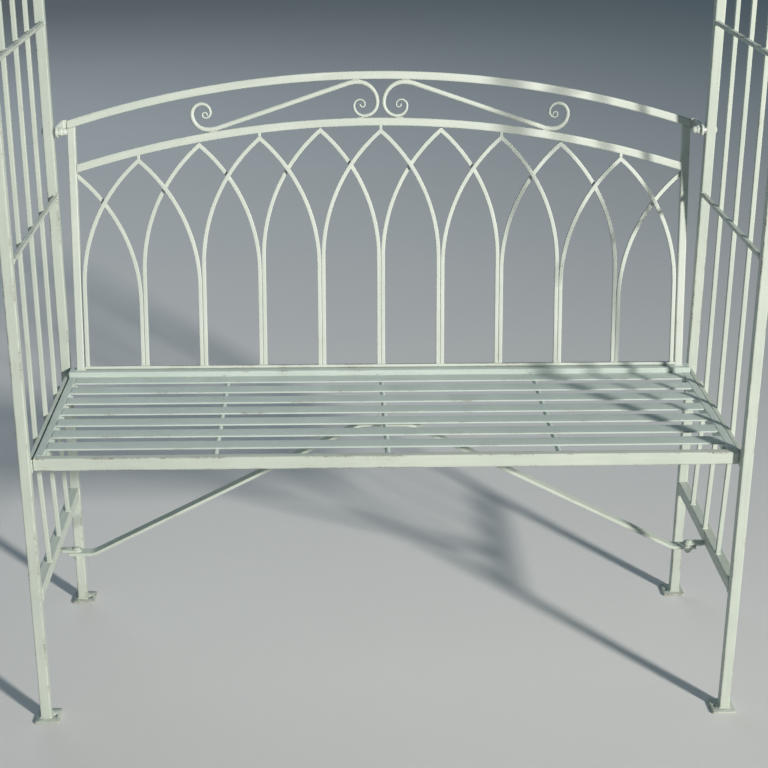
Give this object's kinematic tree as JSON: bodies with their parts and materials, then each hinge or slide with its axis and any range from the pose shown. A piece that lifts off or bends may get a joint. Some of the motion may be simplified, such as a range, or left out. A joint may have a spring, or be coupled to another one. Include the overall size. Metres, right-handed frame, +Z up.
{
  "type": "garden arch with bench",
  "caption": "Round-topped metal trellis arch with a slatted bench between its sides, a lancet backrest with scrolls and a brace under the seat.",
  "frame": {"origin": "on the ground in the middle of the four feet", "axes": "+X across the arch, to the right of someone facing the seat; +Y from the front of the seat to its back; +Z up"},
  "size_m": [1.106, 0.4775, 2.195],
  "materials": {
    "frame_paint": "satin sage green outdoor paint, thin at the edges",
    "seat_paint": "satin sage green outdoor paint, rubbed along the front edges",
    "back_paint": "satin sage green outdoor paint, brushed over welds",
    "zinc": "dull zinc plate"
  },
  "bodies": {
    "root": {"left_front_post": "frame_paint", "right_front_post": "frame_paint", "left_rear_post": "frame_paint", "right_rear_post": "frame_paint", "left_bottom_rail": "frame_paint", "right_bottom_rail": "frame_paint", "left_seat_bar": "frame_paint", "right_seat_bar": "frame_paint", "left_front_rod": "frame_paint", "left_middle_rod": "frame_paint", "left_rear_rod": "frame_paint", "right_front_rod": "frame_paint", "right_middle_rod": "frame_paint", "right_rear_rod": "frame_paint", "left_cross_bars": "frame_paint", "right_cross_bars": "frame_paint", "foot_plates": "frame_paint", "brace_tabs": "frame_paint", "front_arch": "frame_paint", "rear_arch": "frame_paint", "arch_front_rod": "frame_paint", "arch_middle_rod": "frame_paint", "arch_rear_rod": "frame_paint", "arch_cross_bars": "frame_paint", "arch_spigots": "zinc", "arch_screws": "zinc", "seat_front_rail": "seat_paint", "seat_rear_rail": "seat_paint", "seat_left_rail": "seat_paint", "seat_right_rail": "seat_paint", "seat_slat_1": "seat_paint", "seat_slat_2": "seat_paint", "seat_slat_3": "seat_paint", "seat_slat_4": "seat_paint", "seat_slat_5": "seat_paint", "seat_slat_6": "seat_paint", "seat_slat_7": "seat_paint", "slat_bearer_left": "seat_paint", "slat_bearer_centre": "seat_paint", "slat_bearer_right": "seat_paint", "seat_brace": "frame_paint", "back_left_upright": "back_paint", "back_right_upright": "back_paint", "back_top_rail": "back_paint", "back_lower_rail": "back_paint", "back_bottom_rail": "back_paint", "front_lancets": "back_paint", "rear_lancets": "back_paint", "half_lancets": "back_paint", "lancet_stubs": "back_paint", "left_scroll": "back_paint", "right_scroll": "back_paint", "left_back_bracket": "back_paint", "right_back_bracket": "back_paint", "back_bolts": "back_paint", "back_acorn_nuts": "back_paint", "seat_bolts": "frame_paint", "brace_bolts": "frame_paint", "hex_nuts": "frame_paint", "bolt_spacers": "zinc"}
  },
  "joints": []
}
